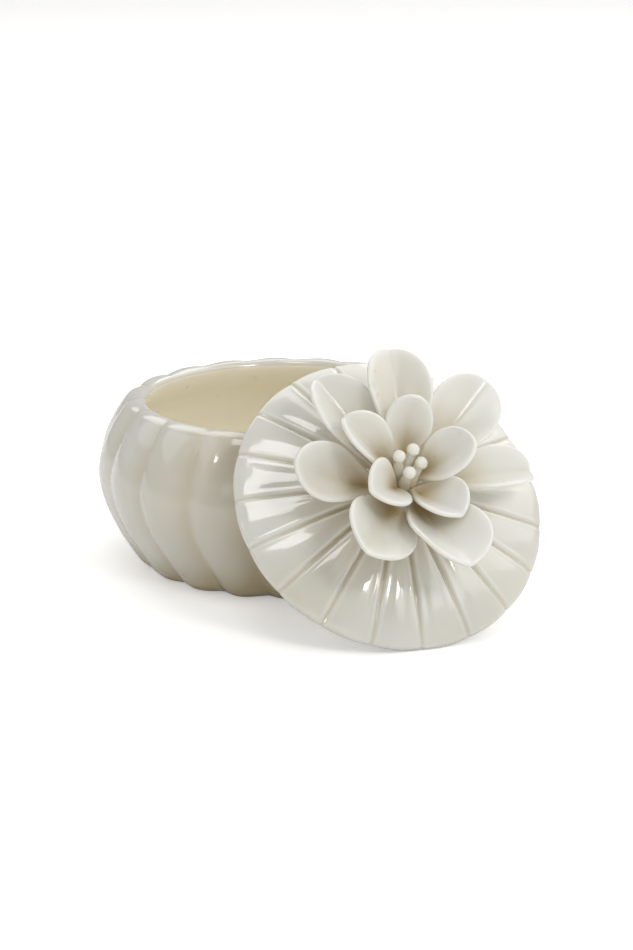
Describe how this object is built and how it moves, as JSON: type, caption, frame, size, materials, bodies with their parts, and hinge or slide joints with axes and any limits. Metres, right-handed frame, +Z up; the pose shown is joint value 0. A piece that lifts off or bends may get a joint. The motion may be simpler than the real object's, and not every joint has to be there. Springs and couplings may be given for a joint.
{
  "type": "vanity trinket box",
  "caption": "Round ribbed porcelain trinket box with a lift-off fluted lid; a hand-built flower on the lid is its handle.",
  "frame": {"origin": "centre of the bowl's flat foot, on the table", "axes": "+Z up along the bowl's axis; the lid leans on the bowl on the -Y side, a little towards +X; -Y is the front"},
  "size_m": [0.1261, 0.1526, 0.0747],
  "materials": {
    "ivory_glaze": "gloss",
    "petal_glaze": "satin",
    "stamen_glaze": "satin"
  },
  "bodies": {
    "bowl": {"bowl": "ivory_glaze"},
    "lid_carrier": {"flower_receptacle": "petal_glaze"},
    "lid": {"lid_dome": "ivory_glaze", "lid_locating_ring": "ivory_glaze", "outer_petal_1": "petal_glaze", "outer_petal_2": "petal_glaze", "outer_petal_3": "petal_glaze", "outer_petal_4": "petal_glaze", "outer_petal_5": "petal_glaze", "outer_petal_6": "petal_glaze", "outer_petal_7": "petal_glaze", "inner_petal_1": "petal_glaze", "inner_petal_2": "petal_glaze", "inner_petal_3": "petal_glaze", "inner_petal_4": "petal_glaze", "inner_petal_5": "petal_glaze", "stamen_1": "stamen_glaze", "stamen_2": "stamen_glaze", "stamen_3": "stamen_glaze", "stamen_4": "stamen_glaze"}
  },
  "joints": [
    {"name": "lid_swing", "type": "hinge", "parent": "bowl", "child": "lid_carrier", "pos_m": [0.01716, -0.03544, 0.0627], "axis": [-0.9, -0.4359, 0], "range_deg": [0, 213.4]},
    {"name": "lid_tilt", "type": "hinge", "parent": "lid_carrier", "child": "lid", "pos_m": [0.03149, -0.06503, 0.04102], "axis": [0.9272, 0.3745, -0.0099], "range_deg": [0, 165.53]}
  ],
  "couplings": [
    {"joint": "lid_tilt", "follows": "lid_swing", "ratio": 0.77568}
  ]
}
